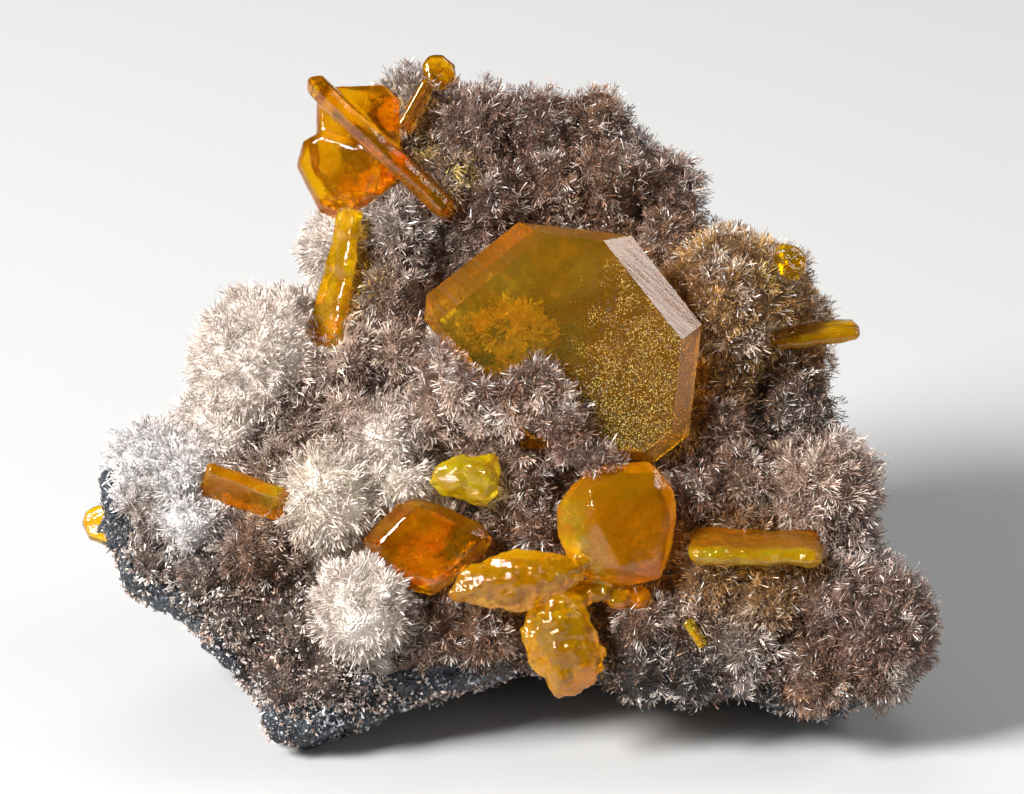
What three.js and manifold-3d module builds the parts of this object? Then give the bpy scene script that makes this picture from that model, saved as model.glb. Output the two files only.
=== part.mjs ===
// Wulfenite specimen: orange tabular crystals on a crust of radiating needle sprays, which grew over
// a broken piece of dark host rock. It stands on the rock's flat base with its display face to the
// front (-Y), leaning back. Millimetres, +Z up, origin on the base.

import * as THREE from "three";
import { ConvexGeometry } from "three/addons/geometries/ConvexGeometry.js";
import { mergeVertices } from "three/addons/utils/BufferGeometryUtils.js";
import Module from "manifold-3d";

const wasm = await Module();
wasm.setup();

// The display face's own frame: u across, v up along the face, w out of it towards the front.
const faceLean = 25; // degrees back from the vertical
const faceMiddle = [6.5, -6.5, 24.6];
const faceToPart = new THREE.Matrix4()
  .makeRotationX(THREE.MathUtils.degToRad(90 - faceLean))
  .setPosition(...faceMiddle);

const seatGap = 0.3; // between a crystal or the crust and what it sits in

// ---------------------------------------------------------------- small helpers

function hash(x, y, z) {
  const s = Math.sin(x * 127.1 + y * 311.7 + z * 74.7) * 43758.5453;
  return s - Math.floor(s);
}

// Smooth noise from -1 to 1 whose bumps are about `size` millimetres across.
function noise(point, size) {
  const at = point.clone().divideScalar(size);
  const cell = at.clone().floor();
  const part = at.sub(cell);
  const ease = (t) => t * t * (3 - 2 * t);
  let sum = 0;
  for (let corner = 0; corner < 8; corner++) {
    const [i, j, k] = [corner & 1, (corner >> 1) & 1, corner >> 2];
    const weight =
      (i ? ease(part.x) : 1 - ease(part.x)) *
      (j ? ease(part.y) : 1 - ease(part.y)) *
      (k ? ease(part.z) : 1 - ease(part.z));
    sum += weight * hash(cell.x + i, cell.y + j, cell.z + k);
  }
  return 2 * sum - 1;
}

function weld(geometry) {
  const bare = new THREE.BufferGeometry();
  bare.setAttribute("position", geometry.getAttribute("position"));
  if (geometry.index) bare.setIndex(geometry.index);
  return mergeVertices(bare, 1e-4);
}

// Moves every vertex of a closed shape to where `place` says.
function reshape(geometry, place) {
  const position = geometry.getAttribute("position");
  const point = new THREE.Vector3();
  for (let i = 0; i < position.count; i++) {
    point.fromBufferAttribute(position, i);
    position.setXYZ(i, ...place(point, i).toArray());
  }
  return geometry;
}

function solidOf(geometry, matrix = new THREE.Matrix4()) {
  const closed = weld(geometry).applyMatrix4(matrix);
  return new wasm.Manifold(
    new wasm.Mesh({
      numProp: 3,
      vertProperties: closed.getAttribute("position").array,
      triVerts: new Uint32Array(closed.index.array),
    }),
  );
}

function geometryOf(solid) {
  const { vertProperties, triVerts } = solid.getMesh();
  const geometry = new THREE.BufferGeometry();
  geometry.setAttribute("position", new THREE.BufferAttribute(vertProperties, 3));
  geometry.setIndex(new THREE.BufferAttribute(triVerts, 1));
  geometry.computeVertexNormals();
  return geometry;
}

const joined = (solids) => solids.reduce((all, next) => all.add(next));
const cutBy = (solid, tools) => tools.reduce((rest, tool) => rest.subtract(tool), solid);
const brokenAlong = (solid, faces) =>
  faces.reduce((rest, { facing, distance }) =>
    rest.trimByPlane(facing.map((part) => -part / Math.hypot(...facing)), -distance), solid);
const largestBody = (solid) =>
  solid.decompose().reduce((best, next) => (next.volume() > best.volume() ? next : best));

// ---------------------------------------------------------------- host rock

// The rock's outline seen square to the display face, clockwise from the top left.
const rockOutline = [
  [-9, 25.6], [-3, 24.8], [3, 24], [8, 23.4], [12, 19.8], [15, 15.5], [19, 12.3], [22.3, 9.2],
  [23.8, 5], [24.4, 1], [25.4, -3], [27.2, -8], [28.2, -12], [31, -15.5], [31.8, -19],
  [31, -22.6], [28, -25], [24, -25.4], [20.5, -23], [15.5, -23.4], [10, -22.6], [5, -21],
  [0, -21.4], [-5, -22.6], [-10, -24.9], [-14, -27], [-18.8, -28.3], [-20, -24.4],
  [-21.4, -21.4], [-25.6, -19.2], [-26.4, -16.8], [-30, -15], [-32.6, -11.2], [-33.6, -7.5],
  [-32.4, -3], [-27, -2.8], [-23, 0.5], [-22.4, 5], [-18.8, 7.8], [-14.8, 10.5], [-14, 14.5],
  [-12.8, 19], [-12, 23],
];
const rockHeart = [1, -5]; // a point that the whole outline can be seen from
const rimAtMiddle = -3; // w of the rock's widest section at v = 0
const rimSlope = -0.17; // how that w changes with v
const frontBulge = 5; // how far the front stands out of the widest section
const backDepth = (v) => 18 - 0.64 * v; // how far the back reaches behind it
const squareness = 2.6; // 2 would round the rock's section like an ellipse

// Broken faces behind the crust: the way each looks, and its distance from the origin.
const fractures = [
  { facing: [0.05, 0.98, -0.2], distance: 10.4 },
  { facing: [-0.45, 0.89, -0.12], distance: 9 },
  { facing: [-0.7, 0.71, -0.1], distance: 12.5 },
  { facing: [-0.86, 0.35, -0.38], distance: 13.2 },
  { facing: [-0.78, 0.6, 0.16], distance: 19.3 },
  { facing: [-0.65, 0.3, -0.7], distance: 5.6 },
  { facing: [0.66, 0.75, -0.1], distance: 21.2 },
  { facing: [0.85, 0.2, -0.48], distance: 26.8 },
  { facing: [0.25, 0.8, -0.55], distance: 10 },
  { facing: [-0.2, 0.75, -0.63], distance: 5.3 },
  { facing: [0.38, 0.92, 0.06], distance: 18 },
];

const coarseRelief = { size: 8, height: 0.9 };
const fineRelief = { size: 3.4, height: 0.6 };
const reliefShift = new THREE.Vector3(-10.5, -3.5, 0); // which bumps fall where

const rimOut = (v) => rimAtMiddle + rimSlope * v;
const roundOff = (share) => (1 - Math.min(1, share) ** squareness) ** (1 / squareness);

// Distance from the heart to the outline in the direction of an angle.
function outlineReach(angle) {
  const [dx, dy] = [Math.cos(angle), Math.sin(angle)];
  let reach = 0;
  rockOutline.forEach(([ax, ay], i) => {
    const [bx, by] = rockOutline[(i + 1) % rockOutline.length];
    const [px, py] = [ax - rockHeart[0], ay - rockHeart[1]];
    const [ex, ey] = [bx - ax, by - ay];
    const turn = dx * ey - dy * ex;
    if (Math.abs(turn) < 1e-9) return;
    const along = (px * ey - py * ex) / turn;
    const share = (px * dy - py * dx) / turn;
    if (along > 0 && share >= -1e-6 && share <= 1 + 1e-6) reach = Math.max(reach, along);
  });
  return reach;
}

// Where the rock's front lies at a place on the display face.
function rockFront(u, v) {
  const [du, dv] = [u - rockHeart[0], v - rockHeart[1]];
  const share = Math.min(1, Math.hypot(du, dv) / outlineReach(Math.atan2(dv, du)));
  return rimOut(v) + frontBulge * roundOff(share);
}

// A ball of unit directions drawn out to the rock's outline and depth, in the part's frame.
function drawnOut(ball) {
  return reshape(ball, (direction) => {
    const angle = Math.atan2(direction.y, direction.x);
    const share = Math.hypot(direction.x, direction.y);
    const reach = outlineReach(angle) * share;
    const u = rockHeart[0] + reach * Math.cos(angle);
    const v = rockHeart[1] + reach * Math.sin(angle);
    const depth = direction.z > 0 ? frontBulge : -backDepth(v);
    return new THREE.Vector3(u, v, rimOut(v) + depth * roundOff(share)).applyMatrix4(faceToPart);
  });
}

// The rock before its broken faces are cut, with relief along its normals.
function rockShape(detail) {
  const shape = drawnOut(weld(new THREE.IcosahedronGeometry(1, detail)));
  shape.computeVertexNormals();
  const normals = shape.getAttribute("normal").clone();
  const normal = new THREE.Vector3();
  reshape(shape, (point, i) => {
    normal.fromBufferAttribute(normals, i);
    for (const { size, height } of [coarseRelief, fineRelief])
      point.addScaledVector(normal, height * noise(point.clone().add(reliefShift), size));
    return point;
  });
  shape.setAttribute("normal", normals);
  return shape;
}

// The same shape with every vertex moved out by what `amount` says for it.
function grown(shape, amount) {
  const copy = shape.clone();
  const normals = shape.getAttribute("normal");
  const normal = new THREE.Vector3();
  return reshape(copy, (point, i) => {
    normal.fromBufferAttribute(normals, i);
    return point.addScaledVector(normal, amount(point, normal, i));
  });
}

// ---------------------------------------------------------------- crust of needle sprays

// Half balls of needles, by where they grow on the display face and how far their tips reach:
// [u, v, reach, and how far the middle stands off the rock].
const sprays = [
  // upper left and left shoulder
  [-19.6, 3.6, 6.6, 0], [-22.4, -1.8, 4.8, 0], [-13.4, 12.9, 4, 0], [-13.2, 4.4, 4, 0.5],
  [-9.4, 9.2, 3.8, 0], [-9.2, 14.4, 3.8, 0.5], [-8.4, 4.4, 3.4, 0.5], [-16.6, -0.8, 3.8, 0],
  // far left
  [-28.6, -4.4, 3.8, 0], [-25.8, -5, 3.6, 0.5], [-28.8, -8.2, 3, 0.5], [-25.2, -9, 3.5, 0.5],
  [-20.2, -11, 3.8, 0], [-24.6, -12.8, 3.2, 0],
  // middle left, with the two round balls
  [-14.5, -7, 4.6, 1.5], [-11.8, -15.8, 4.4, 2.5], [-10, -2.4, 3.6, 1], [-12.6, -0.6, 3.4, 0],
  [-18.6, -5, 3.2, 0], [-9, -5.6, 3, 1.5],
  // middle, over the foot of the large tablet
  [-5.8, -0.4, 3.3, 1.5], [-4.8, 2.4, 3, 2.5], [-2, 1, 3.2, 3], [1.6, 1.6, 3.6, 3.8],
  [1, -2.6, 3.4, 1.5], [5.2, -0.6, 3.2, 3.4], [7.4, -3, 2.4, 2.6], [0.8, -6.6, 3.2, 0.5],
  [2.4, -9.4, 2.8, 0.5], [-2.6, -3.4, 2.6, 1],
  // top
  [-7.6, 24, 4.3, 0], [-3, 22.2, 4.6, 0], [1.6, 22, 4.6, 0], [6.6, 22.4, 4, 0],
  [-5, 18.4, 3.4, 0], [-1.4, 17.2, 3.6, 0], [3.2, 18, 3.8, 0], [8, 18, 4.2, 0],
  [12.4, 17.6, 3.9, 0], [10.4, 20.2, 2.8, 0], [13, 13.4, 3.6, 0],
  // right shoulder
  [17.6, 8.4, 6.6, 0], [22.2, 6.8, 4, 0], [21.2, 10.2, 3.6, 0], [16.8, 3.4, 3.8, 0],
  [22.6, 3, 3.4, 0], [22.8, -0.4, 4.2, -0.5],
  // right
  [24.4, -6.6, 5.6, 0], [17, -1.6, 3.6, 0], [18.4, -5.6, 3.8, 0.5], [14.4, -6, 3.2, 0],
  [26, -10, 3.8, 0], [18.4, -9, 3, 0], [16, -13, 3, 0.5],
  // lower right
  [29.2, -17.4, 5.4, 0], [26.2, -15.2, 4.4, 0], [29, -13.8, 2.8, 0], [24.8, -20.4, 4.2, 0],
  [29.4, -20.4, 3.6, 0], [20.6, -15, 3.6, 0.5], [18.6, -19, 3.4, 0.5], [14.8, -17, 3.2, 0],
  [14.6, -20.8, 3.3, 0], [10.4, -20.2, 3.5, 0], [10.6, -16.6, 3, 0.5],
  // bottom left, thin towards the bare rock
  [-17, -17.2, 3.4, 0], [-21.6, -16.6, 3, 0], [-6.2, -17.4, 3.2, 0], [-2, -17.6, 2.8, 0.5],
  [-14.2, -21.4, 2.8, 0], [-18, -21.4, 2.8, 0], [-28.6, -12, 2.4, 0],
];
const valleyDepth = 0.24; // how far the hollows between the tips lie below them, as a share
const carpetReach = 1.5; // needles that cover the rock between the balls
const carpetSpine = 1.5; // how far their tips stand out of that
const carpetSink = 1.2; // where no needles grow, the carpet runs inside the rock
const crustClearance = 0.35; // the needles end above what the specimen stands on

// The lower limit of the crust on the display face: bare rock shows below it.
const bareLine = [
  [-35, 2], [-33, -2], [-31.6, -7], [-30.2, -11], [-27, -14], [-22, -18.6], [-18.5, -22.6],
  [-13, -23.6], [-8, -20.8], [0, -19.6], [6, -21], [14, -22.6], [22, -22.8], [33, -22.6],
];
const bareEdge = 1.6; // the crust thins out over this distance
const wrapBehind = 2.6; // how far the crust reaches round the rock's rim

function lineAt(points, u) {
  const next = points.findIndex(([pu]) => pu > u);
  if (next <= 0) return points.at(next === 0 ? 0 : -1)[1];
  const [[au, av], [bu, bv]] = [points[next - 1], points[next]];
  return av + ((bv - av) * (u - au)) / (bu - au);
}

const partToFace = faceToPart.clone().invert();

// How much of the crust's thickness a point of the rock carries, from 0 to 1: by how far it lies
// above the bare rock, and by how far it lies round the rim.
function coverAt(point) {
  const face = point.clone().applyMatrix4(partToFace);
  const line = lineAt(bareLine, face.x);
  const above = THREE.MathUtils.smoothstep(face.y, line - bareEdge / 2, line + bareEdge);
  const behind = face.z - rimOut(face.y) + wrapBehind;
  return { above, round: THREE.MathUtils.smoothstep(behind, -bareEdge, bareEdge) };
}

// How far out of a ball a point leaves it when it moves along a direction.
function wayOut(point, direction, centre, radius) {
  const from = point.clone().sub(centre);
  const half = from.dot(direction);
  const inside = half * half - from.lengthSq() + radius * radius;
  return inside > 0 ? Math.sqrt(inside) - half : 0;
}

// Picks vertices so that no two of them are neighbours.
function apart(geometry) {
  const corners = geometry.index.array;
  const around = new Map();
  corners.forEach((vertex, k) => {
    const first = k - (k % 3);
    const near = around.get(vertex) ?? around.set(vertex, new Set()).get(vertex);
    for (let side = 0; side < 3; side++) near.add(corners[first + side]);
  });
  const picked = new Set();
  for (const [vertex, near] of around)
    if (![...near].some((other) => picked.has(other))) picked.add(vertex);
  return picked;
}

// The rock's skin pushed out to the needle tips: round over every spray, low between them.
function needleSkin(detail) {
  const centres = sprays.map(([u, v, , standOff]) =>
    new THREE.Vector3(u, v, rockFront(u, v) + standOff).applyMatrix4(faceToPart));
  const skin = rockShape(detail);
  const tips = apart(skin);
  return grown(skin, (point, normal, i) => {
    const tip = tips.has(i);
    const uneven = hash(i, 5, 1);
    const { above, round } = coverAt(point);
    const cover = above * round;
    const spine = tip ? carpetSpine * (0.5 + 0.5 * uneven) : 0;
    const carpet = (carpetReach + spine) * cover - carpetSink * (1 - cover);
    const share = (tip ? 1 : 1 - valleyDepth) - 0.08 * uneven;
    const outs = sprays.map(([, , reach], k) =>
      round * wayOut(point, normal, centres[k], reach * share));
    return Math.max(carpet, ...outs.map((out) => out || -carpetSink));
  });
}

// ---------------------------------------------------------------- orange crystals

// A tablet is bounded by straight edges, each [direction in degrees, distance from the middle,
// bevel width]. Its waist is `rim` high, and the bevels run from there up to both faces.
function corners(edges, offset) {
  const found = [];
  edges.forEach(([angleA, reachA, bevelA], i) =>
    edges.slice(i + 1).forEach(([angleB, reachB, bevelB]) => {
      const [a, b] = [angleA, angleB].map(THREE.MathUtils.degToRad);
      const turn = Math.sin(b - a);
      if (Math.abs(turn) < 1e-3) return;
      const [da, db] = [offset(reachA, bevelA), offset(reachB, bevelB)];
      const x = (da * Math.sin(b) - db * Math.sin(a)) / turn;
      const y = (db * Math.cos(a) - da * Math.cos(b)) / turn;
      const inside = edges.every(([angle, reach, bevel]) => {
        const c = THREE.MathUtils.degToRad(angle);
        return x * Math.cos(c) + y * Math.sin(c) < offset(reach, bevel) + 1e-6;
      });
      if (inside) found.push([x, y]);
    }));
  return found;
}

function tabletGeometry({ edges, thickness, rim = 0.3 }, extra) {
  const waist = corners(edges, (reach) => reach + extra);
  const face = corners(edges, (reach, bevel) => reach - bevel + extra);
  const points = [1, -1].flatMap((side) => [
    ...waist.map(([x, y]) => new THREE.Vector3(x, y, side * (rim / 2 + extra / 2))),
    ...face.map(([x, y]) => new THREE.Vector3(x, y, side * (thickness / 2 + extra))),
  ]);
  return new ConvexGeometry(points);
}

// An uneven crystal is the hull of its corners on the display face: the outline [u, v] of its waist,
// how far out that lies, and the corners [u, v, w] of its front and back.
function lumpGeometry({ outline, waist, front, back }, extra) {
  const middle = outline
    .reduce((sum, [u, v]) => sum.add(new THREE.Vector2(u, v)), new THREE.Vector2())
    .divideScalar(outline.length);
  const spots = [...outline.map(([u, v]) => [u, v, waist]), ...front, ...back];
  const points = spots.flatMap(([u, v, w]) => {
    const away = new THREE.Vector2(u, v).sub(middle).setLength(extra);
    return [extra, -extra].map((out) => new THREE.Vector3(u + away.x, v + away.y, w + out));
  });
  return new ConvexGeometry(extra ? points : points.filter((point, i) => i % 2));
}

const crystalGeometry = (crystal, extra = 0) =>
  crystal.outline ? lumpGeometry(crystal, extra) : tabletGeometry(crystal, extra);

const octagon = (reaches, bevels) =>
  reaches.map((reach, i) => [i * 45, reach, Array.isArray(bevels) ? bevels[i] : bevels]);

// A blade is a long tablet with pointed ends: half its length, half its width, its bevel.
const blade = (half, side, bevel) => [
  [0, half, bevel], [40, (half + side) * 0.68, bevel], [90, side, bevel],
  [140, (half + side) * 0.68, bevel], [180, half, bevel], [220, (half + side) * 0.68, bevel],
  [270, side, bevel], [320, (half + side) * 0.68, bevel],
];

// Each crystal: where its middle is, which way its flat face looks, which way its first edge
// looks, all in the display face's frame, and its own size.
const singles = {
  tablet_large: {
    at: [3.9, 3.6, 5.4], facing: [-0.05, -0.06, 1], along: [0.993, -0.115, 0], thickness: 4,
    edges: octagon([10.9, 10.9, 10.9, 10.9, 11.1, 6.2, 6.8, 10.8],
      [1.4, 1.9, 0.6, 2.2, 0.9, 0.9, 0.8, 1.2]),
  },
  blade_upper_small: {
    at: [-7.6, 24.5, -0.5], facing: [0.88, -0.48, 0.15], along: [-0.48, -0.88, 0], thickness: 0.7,
    edges: blade(2.2, 1.5, 0.2),
  },
  crystal_top: {
    at: [-5.7, 27.4, -3.6], facing: [0.35, 0.25, 0.9], along: [0.8, -0.6, 0], thickness: 1.1,
    edges: octagon([1.3, 1.3, 1.3, 1.4, 1.5, 1.4, 1.5, 1.4], 0.3),
  },
  blade_left_upper: {
    at: [-13.8, 10.6, 1.6], facing: [-0.7, 0.12, 0.7], along: [-0.22, -0.97, 0], thickness: 1.1,
    edges: [[0, 5.7, 0.35], [40, 4.9, 0.35], [94, 1.6, 0.35], [140, 5, 0.35], [180, 5.6, 0.35],
      [220, 5, 0.35], [266, 1.6, 0.35], [320, 4.9, 0.35]],
  },
  blade_left: {
    at: [-21.2, -6.5, 4.7], facing: [-0.3, -0.68, 0.67], along: [0.93, -0.36, 0.1],
    thickness: 1.2, edges: blade(3.4, 1.7, 0.35),
  },
  crystal_left_edge: {
    at: [-32.4, -9.4, -1.5], facing: [-0.25, 0.1, 1], along: [-0.95, 0.3, 0], thickness: 1.3,
    edges: octagon([2.2, 1.9, 1.5, 2, 2.6, 2, 1.6, 1.9], 0.35),
  },
  tablet_amber: {
    outline: [[-11.7, -10.3], [-9, -7.4], [-7, -7], [-5.6, -7.4], [-2.2, -9], [-1.3, -10.2],
      [-1.9, -11.4], [-3.3, -12.5], [-6, -14.8], [-7.6, -14.4], [-11.2, -12.7]],
    waist: 6.3,
    front: [[-10.2, -10.6, 7.4], [-8.4, -8.5, 7.5], [-6.2, -8.4, 7.6], [-3.2, -9.8, 7.5],
      [-2.7, -11, 7.4], [-4.4, -12.4, 7.5], [-6.4, -13.6, 7.4], [-9.8, -12.2, 7.4]],
    back: [[-9.8, -10.8, 5.2], [-7, -8.4, 5.2], [-3, -10.2, 5.2], [-4.5, -12.3, 5.2],
      [-7, -13.4, 5.2], [-9.8, -12, 5.2]],
  },
  crystal_yellow: {
    outline: [[-6.5, -5.8], [-5.8, -4.3], [-3.8, -3.5], [-1.1, -3.5], [-0.6, -4.8], [-0.9, -6.6],
      [-2, -7.9], [-3.5, -7.4], [-5.5, -6.5]],
    waist: 6.4,
    front: [[-5.2, -5.5, 7.6], [-3.9, -4.4, 7.8], [-2, -4.4, 7.9], [-1.5, -5.9, 7.7],
      [-2.4, -6.9, 7.6], [-4.5, -6.1, 7.6]],
    back: [[-5.4, -5.6, 5.3], [-3.8, -4.3, 5.3], [-1.7, -4.6, 5.3], [-1.6, -6.4, 5.3],
      [-3.2, -6.8, 5.3]],
  },
  blade_right: {
    at: [19.4, -10.9, 6], facing: [0.02, 0.93, 0.36], along: [0.99, 0.08, 0.05],
    thickness: 1.3, edges: blade(5.2, 2.6, 0.4),
  },
  crystal_right_upper: {
    at: [22.5, 12, 0.2], facing: [0.45, 0.3, 0.84], along: [0.6, -0.8, 0], thickness: 1.6,
    edges: octagon([1.6, 1.4, 1.4, 1.3, 1.5, 1.4, 1.4, 1.5], 0.4),
  },
  blade_right_edge: {
    at: [24.5, 6.1, 1.2], facing: [-0.12, 0.95, 0.3], along: [0.985, 0.17, 0], thickness: 0.9,
    edges: blade(3.5, 1.9, 0.3),
  },
  splinter_lower_right: {
    at: [14.7, -17.7, 6.9], facing: [0.8, 0.5, 0.3], along: [0.5, -0.86, 0], thickness: 0.5,
    edges: blade(1.2, 0.7, 0.15),
  },
};

// Crystals that grew through each other: one solid each.
const groups = {
  cluster_upper_left: [
    {
      at: [-10.4, 21.2, -0.2], facing: [0.69, 0.72, 0.05], along: [0.72, -0.69, 0],
      thickness: 1.7, edges: blade(7.9, 2.6, 0.6),
    },
    {
      at: [-12.2, 21.8, -2.4], facing: [-0.15, 0.05, 1], along: [1, 0, 0.15], thickness: 1.6,
      edges: octagon([3.3, 4.6, 4.4, 4.8, 3.5, 4.2, 4.5, 4.4], 0.5),
    },
    {
      at: [-13.9, 18.7, -1.4], facing: [-0.35, -0.1, 0.93], along: [0.88, 0.47, 0.35],
      thickness: 1.5, edges: octagon([3.6, 3.4, 4, 3.7, 2.7, 3.1, 3.1, 3.4], 0.5),
    },
  ],
  rosette_lower: [
    // two broad faces that meet in a ridge
    {
      outline: [[3.7, -7.7], [4.9, -6], [6, -4.9], [7.7, -4.2], [10.9, -4], [11.7, -4.6],
        [13, -6.4], [13.2, -8.4], [12.9, -10.7], [12, -13.4], [8.8, -14.1], [5.5, -13.1],
        [4.5, -11.6], [3.7, -9.9]],
      waist: 6.7,
      front: [[6.3, -6.3, 8.9], [7, -8.8, 9.2], [8.8, -12.4, 8.9], [5, -10.6, 8],
        [11.4, -6.1, 8], [12.2, -8.6, 7.9], [11.8, -11.6, 7.8], [10.8, -13.1, 7.7]],
      back: [[5, -8, 5.2], [7, -5.7, 5.2], [11, -5.4, 5.2], [12, -8.5, 5.2], [11.4, -12, 5.2],
        [7, -12.4, 5.2]],
    },
    // a leaf with a pointed left end
    {
      outline: [[-5.4, -14.6], [-4, -13.2], [-3.3, -12.3], [-1.6, -11.7], [0.3, -10.9],
        [2.4, -11.1], [3.8, -11.4], [6.6, -12], [5.4, -14], [1.1, -16], [-3, -15.5],
        [-4.8, -15.2]],
      waist: 8,
      front: [[-3.6, -14.2, 8.7], [-1.8, -13.4, 9.2], [1.3, -12.9, 9.4], [3.6, -13, 9],
        [0.5, -14.8, 9]],
      back: [[-3.2, -14, 6.9], [-1, -12.4, 6.9], [3, -12, 6.9], [6.2, -12.3, 6.7],
        [4.6, -13.6, 6.8], [0, -15.2, 6.9]],
    },
    // a stout crystal that hangs over the lower edge
    {
      outline: [[1.3, -16.3], [0.9, -17.3], [0.9, -18.6], [1.6, -20.2], [2.6, -21.4], [3.8, -22.8],
        [5.3, -22.6], [7, -21.4], [7.7, -19.4], [5.9, -15.2], [4.8, -13.9], [3.3, -14.2]],
      waist: 6.6,
      front: [[3.1, -16.6, 8.5], [4, -20.9, 8.3], [6.8, -20.3, 7.7], [5.4, -16.2, 8.4],
        [3.6, -14, 8.1]],
      back: [[2.2, -17, 4.8], [5.4, -16.4, 4.8], [6.6, -19.4, 4.8], [4.4, -21.4, 4.9]],
    },
    ...[[5.2, -14.6, 1.3], [7, -14.2, 1.1], [8.6, -14.7, 1.2], [10.2, -14.9, 1]].map(
      ([u, v, half], i) => ({
        at: [u, v, 6.6 - 0.3 * i], facing: [0.3 - 0.2 * i, 0.5, 0.8], along: [0.8, -0.3 * i, 0.2],
        thickness: 1.1, edges: octagon([half, half, half, half, half, half, half, half], 0.3),
      })),
  ],
};

function placementOf({ at, facing, along }) {
  if (!at) return new THREE.Matrix4();
  const z = new THREE.Vector3(...facing).normalize();
  const x = new THREE.Vector3(...along).projectOnPlane(z).normalize();
  const y = z.clone().cross(x);
  return new THREE.Matrix4().makeBasis(x, y, z).setPosition(...at);
}

const facePlaced = (crystal) => solidOf(crystalGeometry(crystal), placementOf(crystal));
const pocket = (crystal) =>
  solidOf(crystalGeometry(crystal, seatGap), faceToPart.clone().multiply(placementOf(crystal)));

// ---------------------------------------------------------------- assembly

const rockDetail = 7;
const rockGap = 0.45;
const skinDetail = 15;
const groundBlock = (top) =>
  solidOf(new THREE.BoxGeometry(200, 200, 100).translate(0, 0, top - 50));

const rawRock = rockShape(rockDetail);
const pockets = [...Object.values(singles), ...Object.values(groups).flat()].map(pocket);
const brokenRock = brokenAlong(solidOf(rawRock), fractures);
const rock = largestBody(cutBy(brokenRock, [groundBlock(0), ...pockets]));
const crust = largestBody(
  cutBy(solidOf(needleSkin(skinDetail)), [
    solidOf(grown(rawRock, () => rockGap)),
    groundBlock(crustClearance),
    ...pockets,
  ]),
);

const rockLook = { color: 0x34353a, roughness: 0.85, metalness: 0.1 };
const needleLook = { color: 0xcdbfb2, roughness: 0.4, metalness: 0 };
const crystalLook = { color: 0xd9860f, roughness: 0.08, metalness: 0, transparent: true, opacity: 0.8 };

function namedMesh(name, geometry, look) {
  const mesh = new THREE.Mesh(geometry, new THREE.MeshStandardMaterial(look));
  mesh.name = name;
  return mesh;
}

const displayFace = new THREE.Group();
displayFace.applyMatrix4(faceToPart);
for (const [name, crystal] of Object.entries(singles)) {
  const mesh = namedMesh(name, crystalGeometry(crystal), crystalLook);
  mesh.applyMatrix4(placementOf(crystal));
  displayFace.add(mesh);
}
for (const [name, members] of Object.entries(groups))
  displayFace.add(namedMesh(name, geometryOf(joined(members.map(facePlaced))), crystalLook));

const specimen = new THREE.Group();
specimen.add(
  namedMesh("host_rock", geometryOf(rock), rockLook),
  namedMesh("spray_crust", geometryOf(crust), needleLook),
  displayFace,
);

export default specimen;
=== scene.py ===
import math
from itertools import product

import bpy
import numpy as np
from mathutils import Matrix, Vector, noise
from mathutils.bvhtree import BVHTree


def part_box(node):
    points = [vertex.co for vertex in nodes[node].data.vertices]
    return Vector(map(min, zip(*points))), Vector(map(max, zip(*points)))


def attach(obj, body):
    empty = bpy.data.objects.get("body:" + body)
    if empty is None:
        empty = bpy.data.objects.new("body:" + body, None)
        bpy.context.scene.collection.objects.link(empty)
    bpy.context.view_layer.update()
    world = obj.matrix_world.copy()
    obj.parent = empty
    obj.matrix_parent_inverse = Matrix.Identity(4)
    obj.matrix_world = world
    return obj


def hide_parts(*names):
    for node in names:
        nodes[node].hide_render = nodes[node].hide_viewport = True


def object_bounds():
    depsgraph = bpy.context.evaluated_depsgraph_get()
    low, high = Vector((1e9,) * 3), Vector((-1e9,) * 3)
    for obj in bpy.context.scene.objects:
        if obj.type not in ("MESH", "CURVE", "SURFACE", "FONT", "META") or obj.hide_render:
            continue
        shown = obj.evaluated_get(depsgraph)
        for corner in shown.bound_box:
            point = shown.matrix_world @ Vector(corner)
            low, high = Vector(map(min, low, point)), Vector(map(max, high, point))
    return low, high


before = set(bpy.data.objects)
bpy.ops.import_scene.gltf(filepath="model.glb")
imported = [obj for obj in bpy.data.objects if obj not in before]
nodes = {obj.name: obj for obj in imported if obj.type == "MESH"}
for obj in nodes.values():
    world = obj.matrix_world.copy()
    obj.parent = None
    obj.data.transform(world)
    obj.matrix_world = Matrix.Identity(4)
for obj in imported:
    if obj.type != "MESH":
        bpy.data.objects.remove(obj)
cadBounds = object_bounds()
scene = bpy.context.scene
mm = 0.001
print("stage: frame loaded,", len(nodes), "nodes")

# the display face: u across, v up along it, w out towards the front, in millimetres
lean = math.radians(25)
faceMiddle = np.array([6.5, -6.5, 24.6])
faceAxes = np.array([
    [1, 0, 0],
    [0, math.sin(lean), math.cos(lean)],
    [0, -math.cos(lean), math.sin(lean)],
])


def fromFace(points):
    return (np.asarray(points, float) @ faceAxes + faceMiddle) * mm


def toFace(points):
    return (np.asarray(points, float) / mm - faceMiddle) @ faceAxes.T


def treeOf(obj):
    mesh = obj.data
    return BVHTree.FromPolygons(
        [v.co[:] for v in mesh.vertices], [p.vertices[:] for p in mesh.polygons])


def pieceFrom(name, mesh, material, smooth=True):
    mesh.materials.clear()
    mesh.materials.append(material)
    mesh.polygons.foreach_set("use_smooth", [smooth] * len(mesh.polygons))
    obj = bpy.data.objects.new(name, mesh)
    scene.collection.objects.link(obj)
    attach(obj, "root")
    return obj


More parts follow.
